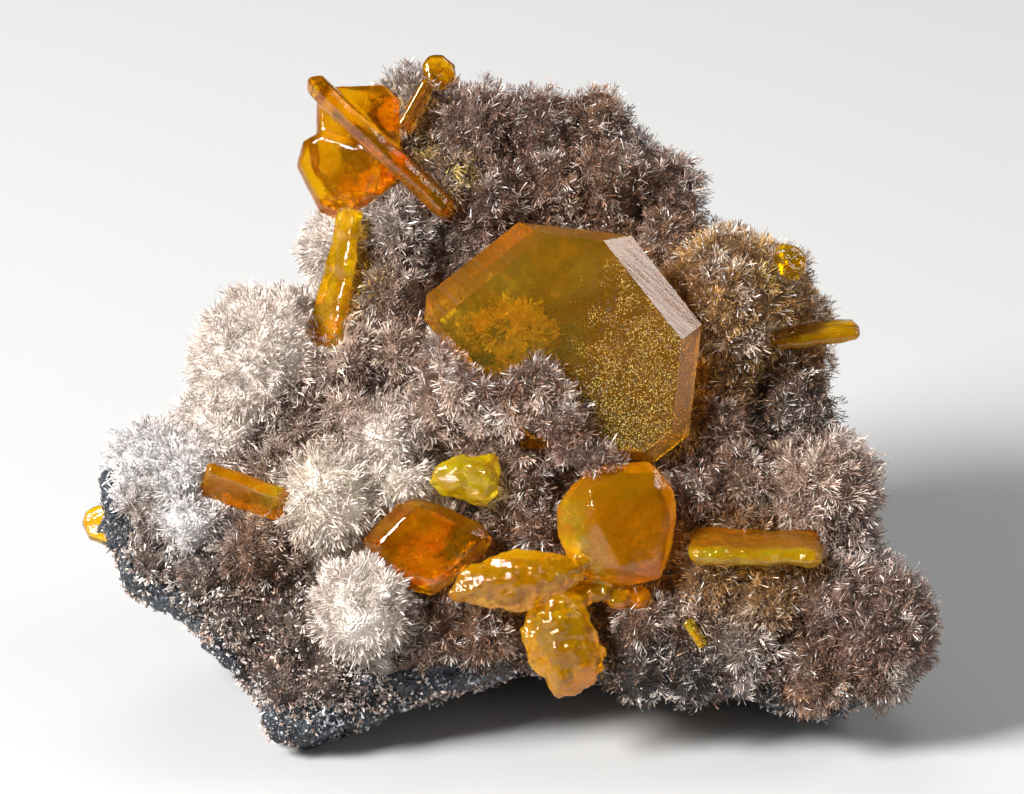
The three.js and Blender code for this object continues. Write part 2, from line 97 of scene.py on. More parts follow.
# joins a closed mesh into one even skin, with its edges worn round if smoothing is above 0
def remeshed(name, mesh, voxel, smoothing=0):
    obj = bpy.data.objects.new(name, mesh)
    scene.collection.objects.link(obj)
    even = obj.modifiers.new("even", "REMESH")
    even.mode = "VOXEL"
    even.voxel_size = voxel * mm
    if smoothing:
        worn = obj.modifiers.new("worn", "SMOOTH")
        worn.factor = 0.5
        worn.iterations = smoothing
    done = bpy.data.meshes.new_from_object(
        obj.evaluated_get(bpy.context.evaluated_depsgraph_get()))
    bpy.data.objects.remove(obj)
    return done


def readPoints(mesh):
    flat = np.empty(len(mesh.vertices) * 3)
    mesh.vertices.foreach_get("co", flat)
    return flat.reshape(-1, 3)


def writePoints(mesh, points):
    mesh.vertices.foreach_set("co", np.ascontiguousarray(points, float).ravel())
    mesh.update()


def readNormals(mesh):
    flat = np.empty(len(mesh.vertices) * 3)
    mesh.vertices.foreach_get("normal", flat)
    return flat.reshape(-1, 3)


def markPoints(mesh, name, values):
    mesh.attributes.new(name, "FLOAT", "POINT").data.foreach_set("value", values)


def paintPoints(mesh, colours):
    shade = mesh.attributes.new("shade", "FLOAT_COLOR", "POINT")
    shade.data.foreach_set("color", np.ascontiguousarray(colours, float).ravel())


# noise from -1 to 1 at each point, with bumps about size wide in the points' own unit
def noiseAt(points, size, offset=0):
    return np.array([noise.noise(Vector(point / size + offset)) for point in points])


def unit(vectors):
    return vectors / np.linalg.norm(vectors, axis=-1, keepdims=True)


def blended(first, second, share):
    return first * (1 - share) + np.array(second) * share


def newMaterial(name):
    material = bpy.data.materials.new(name)
    material.use_nodes = True
    return material, material.node_tree, material.node_tree.nodes["Principled BSDF"]


# settings are the node's own, inputs its sockets by name or index: a value or an output
def addNode(tree, kind, settings=None, inputs=None):
    node = tree.nodes.new(kind)
    for key, value in (settings or {}).items():
        setattr(node, key, value)
    for key, value in (inputs or {}).items():
        if isinstance(value, bpy.types.NodeSocket):
            tree.links.new(value, node.inputs[key])
        else:
            node.inputs[key].default_value = value
    return node


# a colour between two others; share, first and second are values or outputs
def colourMix(tree, share, first, second, kind="MIX"):
    return addNode(tree, "ShaderNodeMix", {"data_type": "RGBA", "blend_type": kind},
                   {0: share, 6: first, 7: second}).outputs[2]


def shaderGroup(name, inputs, outputs):
    group = bpy.data.node_groups.new(name, "ShaderNodeTree")
    for socket, kind, value in inputs:
        made = group.interface.new_socket(socket, in_out="INPUT", socket_type="NodeSocket" + kind)
        if value is not None:
            made.default_value = value
    for socket, kind in outputs:
        group.interface.new_socket(socket, in_out="OUTPUT", socket_type="NodeSocket" + kind)
    return group, group.nodes.new("NodeGroupInput").outputs, group.nodes.new("NodeGroupOutput").inputs


# a group placed in a material with its own values
def useGroup(tree, group, **inputs):
    return addNode(tree, "ShaderNodeGroup", {"node_tree": group}, inputs).outputs


def mathOf(tree, kind, first, second=0.0):
    return addNode(tree, "ShaderNodeMath", {"operation": kind}, {0: first, 1: second}).outputs[0]


def ramp(tree, source, stops):
    node = addNode(tree, "ShaderNodeValToRGB", None, {"Fac": source})
    while len(node.color_ramp.elements) < len(stops):
        node.color_ramp.elements.new(0.5)
    for element, (place, colour) in zip(node.color_ramp.elements, stops):
        element.position = place
        element.color = (*colour, 1)
    return node.outputs["Color"]


def mask(tree, source, low, high):
    return addNode(tree, "ShaderNodeMapRange", {"interpolation_type": "SMOOTHSTEP"},
                   {"Value": source, "From Min": low, "From Max": high}).outputs["Result"]


def attributeOf(tree, name):
    return addNode(tree, "ShaderNodeAttribute", {"attribute_name": name}).outputs["Fac"]


def placeOf(tree):
    return addNode(tree, "ShaderNodeTexCoord").outputs["Object"]


def dotOf(tree, vector, along):
    return addNode(tree, "ShaderNodeVectorMath", {"operation": "DOT_PRODUCT"}, {
        0: vector, 1: along}).outputs["Value"]


# gives the shader bumps, with their height in millimetres
def bumpOn(tree, shader, height, strength, distance):
    bump = addNode(tree, "ShaderNodeBump", None, {
        "Strength": strength, "Distance": distance * mm, "Height": height})
    tree.links.new(bump.outputs["Normal"], shader.inputs["Normal"])


# soft patches, Size in millimetres: Height is the cloud itself, Mask runs from Low to High
mottle, have, give = shaderGroup("mottle", [
    ("Place", "Vector", None), ("Size", "Float", 1.0), ("Detail", "Float", 4.0),
    ("Rough", "Float", 0.6), ("Low", "Float", 0.4), ("High", "Float", 0.6)],
    [("Mask", "Float"), ("Height", "Float")])
cloud = addNode(mottle, "ShaderNodeTexNoise", None, {
    "Vector": have["Place"], "Scale": mathOf(mottle, "DIVIDE", 1 / mm, have["Size"]),
    "Detail": have["Detail"], "Roughness": have["Rough"]}).outputs["Fac"]
mottle.links.new(mask(mottle, cloud, have["Low"], have["High"]), give["Mask"])
mottle.links.new(cloud, give["Height"])

# small separate grains: Mask picks a share of them; Chance and Random differ from grain to grain
specks, have, give = shaderGroup("specks", [
    ("Place", "Vector", None), ("Size", "Float", 0.3), ("Share", "Float", 0.2)],
    [("Mask", "Float"), ("Chance", "Float"), ("Random", "Float"), ("Height", "Float")])
cells = addNode(specks, "ShaderNodeTexVoronoi", None, {
    "Vector": have["Place"], "Scale": mathOf(specks, "DIVIDE", 1 / mm, have["Size"])}).outputs
chance = addNode(specks, "ShaderNodeSeparateColor", None, {0: cells["Color"]}).outputs
picked = mathOf(specks, "GREATER_THAN", have["Share"], chance[0])
grainTop = mask(specks, cells["Distance"], 0.5, 0.2)
specks.links.new(mathOf(specks, "MULTIPLY", picked, grainTop), give["Mask"])
specks.links.new(chance[0], give["Chance"])
specks.links.new(chance[1], give["Random"])
specks.links.new(cells["Distance"], give["Height"])

# the crust's own colour, darkened by a painted shade (its second input) deep among the needles, or only
# by Pale where that colour is pale
crustTint, have, give = shaderGroup("crustTint", [
    ("Shade", "Color", None), ("Fade", "Color", None), ("Pale", "Color", None)],
    [("Colour", "Color")])
blue = addNode(crustTint, "ShaderNodeSeparateColor", None, {0: have["Shade"]}).outputs[2]
fade = colourMix(crustTint, mask(crustTint, blue, 0.36, 0.54), have["Fade"], have["Pale"])
crustTint.links.new(colourMix(crustTint, 1.0, have["Shade"], fade, "MULTIPLY"), give["Colour"])

# where the crust grows: radiating sprays of needles on the display face
# [u, v, reach of the needle tips, stand-off of the middle, tone]
sprays = [
    [-19.6, 3.6, 6.6, 0, "pale"], [-22.4, -1.8, 4.8, 0, "pale"], [-13.4, 12.9, 4, 0, "pale"],
    [-13.2, 4.4, 4, 0.5, "pink"], [-9.4, 9.2, 3.8, 0, "brown"], [-9.2, 14.4, 3.8, 0.5, "grey"],
    [-8.4, 4.4, 3.4, 0.5, "pink"], [-16.6, -0.8, 3.8, 0, "brown"],
    [-28.6, -4.4, 3.8, 0, "white"], [-25.8, -5, 3.6, 0.5, "white"], [-28.8, -8.2, 3, 0.5, "grey"],
    [-25.2, -9, 3.5, 0.5, "white"], [-20.2, -11, 3.8, 0, "brown"], [-24.6, -12.8, 3.2, 0, "stub"],
    [-14.5, -7, 4.6, 1.5, "cream"], [-11.8, -15.8, 4.4, 2.5, "pale"], [-10, -2.4, 3.6, 1, "pale"],
    [-12.6, -0.6, 3.4, 0, "pink"], [-18.6, -5, 3.2, 0, "brown"], [-9, -5.6, 3, 1.5, "cream"],
    [-5.8, -0.4, 3.3, 1.5, "pink"], [-4.8, 2.4, 3, 2.5, "mauve"], [-2, 1, 3.2, 3, "mauve"],
    [1.6, 1.6, 3.6, 3.8, "mauve"], [1, -2.6, 3.4, 1.5, "pink"], [5.2, -0.6, 3.2, 3.4, "mauve"],
    [7.4, -3, 2.4, 2.6, "brown"], [0.8, -6.6, 3.2, 0.5, "brown"], [2.4, -9.4, 2.8, 0.5, "brown"],
    [-2.6, -3.4, 2.6, 1, "pink"],
    [-7.6, 24, 4.3, 0, "grey"], [-3, 22.2, 4.6, 0, "mauve"], [1.6, 22, 4.6, 0, "mauve"],
    [6.6, 22.4, 4, 0, "brown"], [-5, 18.4, 3.4, 0, "mauve"], [-1.4, 17.2, 3.6, 0, "mauve"],
    [3.2, 18, 3.8, 0, "brown"], [8, 18, 4.2, 0, "brown"], [12.4, 17.6, 3.9, 0, "mauve"],
    [10.4, 20.2, 2.8, 0, "grey"], [13, 13.4, 3.6, 0, "brown"],
    [17.6, 8.4, 6.6, 0, "tan"], [22.2, 6.8, 4, 0, "tan"], [21.2, 10.2, 3.6, 0, "grey"],
    [16.8, 3.4, 3.8, 0, "tan"], [22.6, 3, 3.4, 0, "brown"], [22.8, -0.4, 4.2, -0.5, "dark"],
    [24.4, -6.6, 5.6, 0, "pink"], [17, -1.6, 3.6, 0, "mauve"], [18.4, -5.6, 3.8, 0.5, "brown"],
    [14.4, -6, 3.2, 0, "mauve"], [26, -10, 3.8, 0, "grey"], [18.4, -9, 3, 0, "tan"],
    [16, -13, 3, 0.5, "tan"],
    [29.2, -17.4, 5.4, 0, "mauve"], [26.2, -15.2, 4.4, 0, "mauve"], [29, -13.8, 2.8, 0, "grey"],
    [24.8, -20.4, 4.2, 0, "brown"], [29.4, -20.4, 3.6, 0, "mauve"], [20.6, -15, 3.6, 0.5, "tan"],
    [18.6, -19, 3.4, 0.5, "grey"], [14.8, -17, 3.2, 0, "brown"], [14.6, -20.8, 3.3, 0, "dark"],
    [10.4, -20.2, 3.5, 0, "dark"], [10.6, -16.6, 3, 0.5, "brown"],
    [-17, -17.2, 3.4, 0, "stub"], [-21.6, -16.6, 3, 0, "stub"], [-6.2, -17.4, 3.2, 0, "brown"],
    [-2, -17.6, 2.8, 0.5, "brown"], [-14.2, -21.4, 2.8, 0, "stub"], [-18, -21.4, 2.8, 0, "stub"],
    [-28.6, -12, 2.4, 0, "stub"],
]


# a kind of spray: colour, how closely needles follow their tuft, needles in a tuft, space between
# tufts, how uneven they are, their reach, where holes start, painted sparkle, and how stout the needles
# are
def tone(colour, follow, count, gap, uneven, reach, holes, paintedSparkle, stout=1.0):
    return {"colour": np.array(colour), "follow": follow, "count": count, "gap": gap,
            "uneven": uneven, "reach": reach, "holes": holes, "paintedSparkle": paintedSparkle, "stout": stout}


tones = {
    "pale": tone((0.69, 0.62, 0.56), 1.7, 17, 0.52, 0.50, 1.15, 0.56, 0.16, 0.88),
    "white": tone((0.64, 0.63, 0.635), 1.5, 17, 0.55, 0.58, 1.05, 0.42, 0.22, 0.95),
    "cream": tone((0.79, 0.71, 0.615), 1.6, 17, 0.53, 0.50, 1.25, 0.54, 0.16, 0.88),
    "pink": tone((0.60, 0.45, 0.365), 1.3, 18, 0.55, 0.66, 1.1, 0.25, 0.32, 0.76),
    "brown": tone((0.27, 0.15, 0.088), 1.2, 22, 0.54, 0.62, 0.9, 0.26, 0.34, 0.57),
    "mauve": tone((0.26, 0.16, 0.122), 1.2, 22, 0.54, 0.62, 0.9, 0.24, 0.34, 0.57),
    "tan": tone((0.46, 0.255, 0.075), 1.5, 21, 0.54, 0.44, 0.95, 0.42, 0.26, 0.55),
    "grey": tone((0.40, 0.35, 0.325), 1.2, 20, 0.55, 0.62, 0.9, 0.24, 0.36, 0.64),
    "dark": tone((0.06, 0.046, 0.04), 1.0, 14, 0.66, 0.55, 0.85, 0.22, 0.55, 0.7),
    "stub": tone((0.23, 0.18, 0.155), 0.9, 9, 0.56, 0.60, 0.6, 0.22, 0.75, 1.4),
}
yellowSpots = [[-10, 24.6, 1.5], [-4.2, 18.9, 1.5], [-7.2, 21, 1.0], [20.6, 11, 1.3], [-11.6, 9.6, 1.6],
               [9.6, -12.4, 1.8], [6, -16.6, 1.3]]  # stained crust: u, v, radius
stainedYellow = (0.62, 0.44, 0.05)

rockTree = treeOf(nodes["host_rock"])
rockFacing = Vector(faceAxes[2])
raysFrom = 60  # w in front of everything


# w of the plane that the rock's front keeps to
def plainFront(v):
    return -3 - 0.17 * v


def rockFront(u, v):
    hit = rockTree.ray_cast(Vector(fromFace([u, v, raysFrom])), -rockFacing)[0]
    return float(toFace(hit[:])[2]) if hit else plainFront(v)


centres = np.array([[u, v, rockFront(u, v) + standOff] for u, v, reach, standOff, kind in sprays])
reaches = np.array([spray[2] for spray in sprays])
sprayColours = np.array([tones[spray[4]]["colour"] for spray in sprays])
crystalNames = [name for name in nodes if name not in ("host_rock", "spray_crust")]
crystalTrees = {name: treeOf(nodes[name]) for name in crystalNames}

# below this line on the face the rock is bare: u, v
bareLine = np.array([
    [-35, 2], [-33, -2], [-31.6, -7], [-30.2, -11], [-27, -14], [-22, -18.6], [-18.5, -22.6],
    [-13, -23.6], [-8, -20.8], [0, -19.6], [6, -21], [14, -22.6], [22, -22.8], [33, -22.6],
])
crustEdge = {"past": 0.8, "behind": 3.4, "fade": 2.4}  # past the line, behind the front, thinning out


def bareLineAt(face):
    return np.interp(face[:, 0], bareLine[:, 0], bareLine[:, 1])


# how much crust the rock carries at places given in the face's frame, from 0 to 1
def coverAt(face):
    above = (face[:, 1] - bareLineAt(face) + crustEdge["past"]) / crustEdge["fade"]
    nearFront = (face[:, 2] - plainFront(face[:, 1]) + crustEdge["behind"]) / crustEdge["fade"]
    return np.clip(above, 0, 1) * np.clip(nearFront, 0, 1)


# how much each spray gives to places in the face's frame, adding up to 1
def sprayShares(face):
    away = np.linalg.norm(face[:, None] - centres[None], axis=2) / reaches
    weight = np.exp(-2.2 * away ** 2) + 1e-9
    return weight / weight.sum(1, keepdims=True)


# True for each point that lies outside a closed mesh
def outsideOf(tree, points):
    keep = np.ones(len(points), bool)
    for i, point in enumerate(points):
        spot, normal, index, distance = tree.find_nearest(Vector(point), 4 * mm)
        if spot is not None and (Vector(point) - spot).dot(normal) < 0:
            keep[i] = False
    return keep


# True for each point that has a crystal behind it, seen along the face's normal
def crystalsBehind(points, names, depth):
    found = np.zeros(len(points), bool)
    place = toFace(points)[:, :2]
    for name in names:
        corners = toFace(list(product(*zip(*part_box(name)))))[:, :2]
        near = ((place > corners.min(0)) & (place < corners.max(0))).all(1)
        for i in np.flatnonzero(near & ~found):
            if crystalTrees[name].ray_cast(Vector(points[i]), -rockFacing, depth * mm)[0]:
                found[i] = True
    return found


# the host rock: dark and broken, with grey and pink grains, painted glitter of tiny pale specks, and
# rusty stains
rockLook = {
    "voxel": 0.49, "wornBy": 0.1,
    "relief": [(3.6, 0.62), (1.5, 0.5), (0.8, 0.2)],  # width and height of the bumps, mm
    "grainSize": 0.7, "grainHeight": 0.34,
    "hollow": [(2.2, 6.2), 7.5, 2.4],  # under the large tablet: middle, radius, depth
    "stone": [(0.36, (0.007, 0.008, 0.010)), (0.5, (0.020, 0.023, 0.030)),
              (0.6, (0.05, 0.058, 0.074)), (0.72, (0.12, 0.125, 0.14))],
    "glitter": (0.5, 0.49, 0.5, 1), "pink": (0.52, 0.37, 0.31, 1), "rust": (0.13, 0.065, 0.035, 1),
}


def rockMaterial(look):
    material, tree, shader = newMaterial("rock")
    place = placeOf(tree)
    grains = useGroup(tree, specks, Place=place, Size=0.5)
    glitter = useGroup(tree, specks, Place=place, Size=0.2)
    stone = useGroup(tree, mottle, Place=place, Size=3.2, Detail=6.0, Rough=0.65)["Height"]
    pink = useGroup(tree, mottle, Place=place, Size=2.6, Low=0.60, High=0.70)["Mask"]
    rust = useGroup(tree, mottle, Place=place, Size=9.0, Rough=0.5, Low=0.52, High=0.68)["Mask"]
    paint = ramp(tree, stone, look["stone"])
    # painted glitter: a few tiny specks painted pale grey
    paint = colourMix(tree, mask(tree, glitter["Chance"], 0.92, 1.0), paint, look["glitter"])
    paint = colourMix(tree, pink, paint, look["pink"])
    paint = colourMix(tree, mathOf(tree, "MULTIPLY", rust, 0.6), paint, look["rust"])
    tree.links.new(paint, shader.inputs["Base Color"])
    tree.links.new(mask(tree, glitter["Random"], 0.1, 1.3), shader.inputs["Roughness"])
    height = mathOf(tree, "ADD", grains["Height"], mathOf(tree, "MULTIPLY", glitter["Height"], 0.5))
    bumpOn(tree, shader, height, 0.9, 0.3)
    return material


def buildRock(look):
    mesh = remeshed("host_rock_fine", nodes["host_rock"].data.copy(), look["voxel"])
    points, normals = readPoints(mesh), readNormals(mesh)
    push = np.zeros(len(points))
    for size, height in look["relief"]:
        push += height * noiseAt(points, size * mm)
    push += [look["grainHeight"] * (0.45 - noise.voronoi(Vector(p / (look["grainSize"] * mm)))[0][0])
             for p in points]
    moved = points + normals * (push[:, None] - look["wornBy"]) * mm
    face = toFace(moved)
    (hollowU, hollowV), radius, depth = look["hollow"]
    away = np.hypot(face[:, 0] - hollowU, face[:, 1] - hollowV) / radius
    face[:, 2] -= depth * np.clip(1 - away ** 3, 0, 1) * (face[:, 2] > -2)
    moved = fromFace(face)
    moved[:, 2] = np.where(points[:, 2] < 0.05 * mm, 0, np.maximum(moved[:, 2], 0))
    writePoints(mesh, moved)
    rock = pieceFrom("host_rock_fine", mesh, rockMaterial(look))
    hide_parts("host_rock")
    return rock


rock = buildRock(rockLook)
rockFineTree = treeOf(rock)
print("stage: rock,", len(rock.data.polygons), "faces")


# needles: slender closed crystals with three sides, which widen outwards to a slanted end
def needleMesh(roots, tips, halfWidths, colours, ends=(1.0, 0.86, 0.78)):
    count = len(roots)
    axis = tips - roots
    length = np.linalg.norm(axis, axis=1, keepdims=True)
    axis = axis / length
    helper = np.where(np.abs(axis[:, :1]) < 0.8, [[1.0, 0, 0]], [[0, 1.0, 0]])
    side = unit(np.cross(axis, helper))
    other = np.cross(axis, side)
    turn = np.linspace(0, 371, count)[:, None]
    corners = [roots + axis * length * end + halfWidths[:, None] * (
        side * np.cos(turn + k * math.tau / 3) + other * np.sin(turn + k * math.tau / 3))
        for k, end in enumerate(ends)]
    points = np.stack([roots, *corners], axis=1).reshape(-1, 3)
    pattern = np.array([[0, 2, 1], [0, 3, 2], [0, 1, 3], [1, 2, 3]])
    faces = (np.arange(count)[:, None, None] * 4 + pattern).reshape(-1, 3)
    shades = np.repeat(colours[:, None, :], 4, axis=1)
    along = np.tile(np.array([0, *ends]), (count, 1))
    return points, faces, np.concatenate([shades, along[:, :, None]], axis=2).reshape(-1, 4)


def triangleMesh(name, points, faces, colours):
    mesh = bpy.data.meshes.new(name)
    mesh.vertices.add(len(points))
    mesh.vertices.foreach_set("co", np.ascontiguousarray(points, float).ravel())
    mesh.loops.add(len(faces) * 3)
    mesh.loops.foreach_set("vertex_index", np.ascontiguousarray(faces, np.int32).ravel())
    mesh.polygons.add(len(faces))
    mesh.polygons.foreach_set("loop_start", np.arange(0, len(faces) * 3, 3, dtype=np.int32))
    mesh.update(calc_edges=True)
    paintPoints(mesh, colours)
    return mesh


def needleMaterial():
    material, tree, shader = newMaterial("needles")
    shade = addNode(tree, "ShaderNodeAttribute", {"attribute_name": "shade"}).outputs
    # painted shade: each needle darkens towards its root, deep in its tuft, and keeps its own colour at
    # the tip
    fade = ramp(tree, shade["Alpha"], [
        (0.1, (0.30, 0.21, 0.16)), (0.6, (0.78, 0.72, 0.67)), (0.95, (1, 1, 1))])
    paint = useGroup(tree, crustTint, Shade=shade["Color"], Fade=fade, Pale=(0.95, 0.92, 0.90, 1))
    tree.links.new(paint["Colour"], shader.inputs["Base Color"])
    rough = addNode(tree, "ShaderNodeMapRange", None, {
        "Value": attributeOf(tree, "gloss"), "To Min": 0.62, "To Max": 0.09})
    tree.links.new(rough.outputs["Result"], shader.inputs["Roughness"])
    shader.inputs["IOR"].default_value = 1.6
    return material


# one piece of needles, given in the face's frame
def needlePiece(name, roots, tips, wide, shades, gloss):
    points, faces, colours = needleMesh(fromFace(roots), fromFace(tips), wide * mm, shades)
    mesh = triangleMesh(name, points, faces, colours)
    markPoints(mesh, "gloss", np.repeat(gloss, 4))
    piece = pieceFrom(name, mesh, needlePaint, smooth=False)
    print("stage:", name + ",", len(faces), "triangles")


needlePaint = needleMaterial()
tuftLook = {
    "halfWidth": (0.028, 0.098), "stoutFew": 3.2,  # mm, and how rare the stout ones are
    "length": (0.62, 0.42, 0.34), "rootAt": 0.05,  # shares of the reach: least, by chance, if stout
    "lean": 0.34, "spread": 0.6, "startSpread": 0.14,
    "frost": (0.68, 0.60, 0.54), "stain": (0.13, 0.062, 0.035),
    # painted glints: a few needles are painted near white, and made wider and glossier
    "paintedGlint": (0.88, 0.84, 0.80), "glintFrom": 0.955, "glintWidth": 0.05,
}
rng = np.random.default_rng(11)


# drops points that lie too close to an earlier one
def spacedOut(points, spacing):
    cells, kept = {}, []
    for i, point in enumerate(points):
        cell = tuple(np.floor(point / spacing).astype(int))
        near = [j for dx in (-1, 0, 1) for dy in (-1, 0, 1) for dz in (-1, 0, 1)
                for j in cells.get((cell[0] + dx, cell[1] + dy, cell[2] + dz), ())]
        if all(np.linalg.norm(points[j] - point) > spacing for j in near):
            cells.setdefault(cell, []).append(i)
            kept.append(i)
    return np.array(kept)


# random places on a mesh, in metres, with the face normals; density per square millimetre
def scatterOn(mesh, density):
    mesh.calc_loop_triangles()
    corners = np.empty(len(mesh.loop_triangles) * 3, np.int32)
    mesh.loop_triangles.foreach_get("vertices", corners)
    points = readPoints(mesh)[corners.reshape(-1, 3)]
    cross = np.cross(points[:, 1] - points[:, 0], points[:, 2] - points[:, 0])
    area = np.linalg.norm(cross, axis=1) / 2
    count = int(density * area.sum() / mm ** 2)
    pick = rng.choice(len(area), count, p=area / area.sum())
    a, b = rng.random(count), rng.random(count)
    flip = a + b > 1
    a[flip], b[flip] = 1 - a[flip], 1 - b[flip]
    chosen = points[pick]
    places = (chosen[:, 0] + (chosen[:, 1] - chosen[:, 0]) * a[:, None]
              + (chosen[:, 2] - chosen[:, 0]) * b[:, None])
    return places, cross[pick] / (2 * area[pick][:, None])


# how far a spray reaches in some directions, with its lumps
def ballRadius(k, way):
    lumps = 1.5 * noiseAt(way * reaches[k], 1.9, 7 * k) + 0.5 * noiseAt(way * reaches[k], 0.8, 3 * k)
    return reaches[k] * 0.98 + tones[sprays[k][4]]["uneven"] * lumps


growLook = {
    "open": -0.5,  # how far round behind a spray its tufts still grow, as the way's w
    "buried": (0.9, 0.6),  # tips this deep in another spray are dropped: a spray's and the rock's, mm
    "rockTries": 4.5, "rockGap": 0.66, "rockReach": (1.0, 0.7),  # per square mm; spacing; height, mm
}


# enough random directions to fill a ball before those too close together are dropped
def directions(reach, gap):
    return rng.normal(size=(int(26 * reach ** 2 / gap ** 2), 3))


# True for each tip that lies deep in a spray other than its own
def buriedIn(tips, depth, own=None):
    inside = np.zeros(len(tips), bool)
    for k, (centre, reach) in enumerate(zip(centres, reaches)):
        if k != own:
            inside |= np.linalg.norm(tips - centre, axis=1) < reach - depth
    return inside


# tips, axes and tones of all tufts, in the face's frame
def tuftPlaces():
    tips, axes, kinds = [], [], []
    for k, (centre, reach) in enumerate(zip(centres, reaches)):
        look = tones[sprays[k][4]]
        way = unit(directions(reach, look["gap"]))
        way = way[way[:, 2] > growLook["open"]]
        way = way[spacedOut(way * reach, look["gap"])]
        height = ballRadius(k, way) + 0.35 * look["uneven"] * np.clip(rng.normal(size=len(way)), -2, 1.5)
        tip = centre + way * height[:, None]
        free = ~buriedIn(tip, growLook["buried"][0], k)
        tips.append(tip[free])
        axes.append(way[free])
        kinds.extend([sprays[k][4]] * int(free.sum()))
    places, normals = scatterOn(nodes["host_rock"].data, growLook["rockTries"])
    face, normals = toFace(places), normals @ faceAxes.T
    cover = coverAt(face)
    least, byChance = growLook["rockReach"]
    tip = face + normals * ((least + byChance * rng.random(len(face))) * cover)[:, None]
    free = ~buriedIn(tip, growLook["buried"][1])
    keep = np.flatnonzero(free & (rng.random(len(face)) < cover))
    keep = keep[spacedOut(tip[keep], growLook["rockGap"])]
    nearest = np.argmin(np.linalg.norm(tip[keep][:, None] - centres[None], axis=2) / reaches, axis=1)
    tips.append(tip[keep])
    axes.append(normals[keep])
    kinds.extend(sprays[k][4] for k in nearest)
    return np.concatenate(tips), np.concatenate(axes), kinds


# the colour at a place, blended from the sprays round it
def colourAt(spot):
    colour = (sprayShares(spot[None]) @ sprayColours)[0]
    for u, v, radius in yellowSpots:
        share = 0.85 * math.exp(-((spot[0] - u) ** 2 + (spot[1] - v) ** 2) / radius ** 2)
        colour = blended(colour, stainedYellow, share)
    return colour


# tufts on the large tablet's lower left and other crystals' edges: [u, v, w, reach, tone]
overTufts = [
    [-5.9, 5.0, 7.3, 1.2, "mauve"], [-5.0, 3.8, 7.5, 1.5, "pink"], [-3.6, 2.4, 7.6, 1.6, "mauve"],
    [-2.0, 1.4, 7.6, 1.7, "mauve"], [-0.4, 1.3, 7.7, 1.6, "brown"], [0.9, 2.4, 7.8, 1.6, "mauve"],
    [2.2, 3.2, 7.9, 1.5, "mauve"], [3.1, 2.6, 7.8, 1.5, "mauve"], [2.2, 1.2, 7.8, 1.9, "pink"],
    [0.4, -0.5, 7.5, 1.9, "pink"], [3.9, 1.0, 7.7, 1.7, "brown"], [4.8, -0.2, 7.6, 1.6, "mauve"],
    [3.2, -1.1, 7.4, 1.8, "mauve"], [5.8, -1.8, 7.4, 1.5, "brown"], [4.7, -2.8, 7.2, 1.8, "mauve"],
    [7.2, -3.1, 7.3, 1.3, "brown"], [8.2, -4.1, 7.1, 1.2, "brown"], [6.6, -4.5, 7.0, 1.5, "mauve"],
    [-4.2, 1.0, 7.2, 1.9, "pink"], [-2.2, -0.6, 7.2, 1.9, "pink"],
]
# sprays under the large tablet, seen through it
underTufts = [
    [-5.4, 5.4, 2.9, 1.7, "cream"], [-4.2, 5.0, 2.8, 1.9, "cream"], [-3.0, 6.0, 2.8, 1.8, "cream"],
    [-4.6, 6.8, 2.4, 1.4, "cream"], [-0.8, 6.4, 2.6, 2.3, "cream"], [0.6, 7.0, 2.5, 2.3, "cream"],
    [1.7, 6.2, 2.0, 2.2, "cream"], [-1.8, 4.0, 2.3, 1.9, "tan"], [0.4, 3.9, 2.2, 1.8, "cream"],
    [2.8, 5.4, 1.9, 1.6, "tan"],
]


# needles of one tuft, which fan out from a point so that their ends lie round its tip
def tuftNeedles(tip, axis, look, colour, reach):
    axis = unit(axis + tuftLook["lean"] * rng.normal(size=3))
    way = unit(axis * look["follow"] + rng.normal(size=(look["count"], 3)) * tuftLook["spread"])
    way = way[way @ axis > 0]
    count = len(way)
    low, high = tuftLook["halfWidth"]
    stout = rng.random(count) ** tuftLook["stoutFew"]
    wide = (low + (high - low) * stout) * look["stout"]
    least, byChance, ifStout = tuftLook["length"]
    long = reach * (least + byChance * rng.random(count) ** 0.8 + ifStout * stout)
    start = tip - axis * reach + rng.normal(size=(count, 3)) * tuftLook["startSpread"] * reach
    # darker tones vary more from tuft to tuft, and carry patches of frost and brown stain
    dim = 1.1 - colour.mean()
    # painted sparkle: each needle's brightness varies at random, standing in for light caught in the
    # needles
    light = math.exp(0.3 * dim * rng.normal()) * np.exp(look["paintedSparkle"] * rng.normal(size=count))
    frosted = 0.75 * dim * min(1, max(0, 5 * noise.noise(Vector(tip / 2.0 + 70)) - 0.7))
    colour = blended(colour, tuftLook["frost"], frosted)
    patch = 1.3 * noise.noise(Vector(tip / 2.7)) + 0.7 * noise.noise(Vector(tip / 1.1 + 40))
    stain = np.clip(1.2 * patch + 0.12, 0, 0.85) * (1.05 - colour.mean())
    colour = blended(colour, tuftLook["stain"], stain)
    shades = colour * light[:, None] * (1 + 0.03 * rng.normal(size=(count, 3)))
    # painted glints: a small share of the needles is painted near white
    paintedGlint = rng.random(count) > tuftLook["glintFrom"]
    shades += (np.array(tuftLook["paintedGlint"]) - shades) * (0.8 * paintedGlint)[:, None]
    wide = np.where(paintedGlint, np.maximum(wide, tuftLook["glintWidth"]), wide)
    gloss = np.clip(0.35 * rng.random(count) + 0.5 * stout + 0.7 * paintedGlint, 0, 1)
    return (start + way * (long * tuftLook["rootAt"])[:, None], start + way * long[:, None], wide,
            np.clip(shades, 0.01, 0.93), gloss)


# True for each point under the large tablet, which is clear
def beneathTablet(points):
    tree = crystalTrees["tablet_large"]
    return np.array([tree.ray_cast(Vector(point), rockFacing, 12 * mm)[0] is not None
                     for point in points], bool)


# the small crystals at the top are half buried, so needles may hide them
openCrystals = [name for name in crystalNames if name not in ("crystal_top", "blade_upper_small")]
frontSprays = [k for k, spray in enumerate(sprays) if spray[:2] == [-11.8, -15.8]]  # before the amber
clearance = {"floor": 0.3, "box": 0.2, "view": 9}  # mm, and how far behind a needle a crystal counts
strayShare = 0.06  # of the needles in front of a crystal


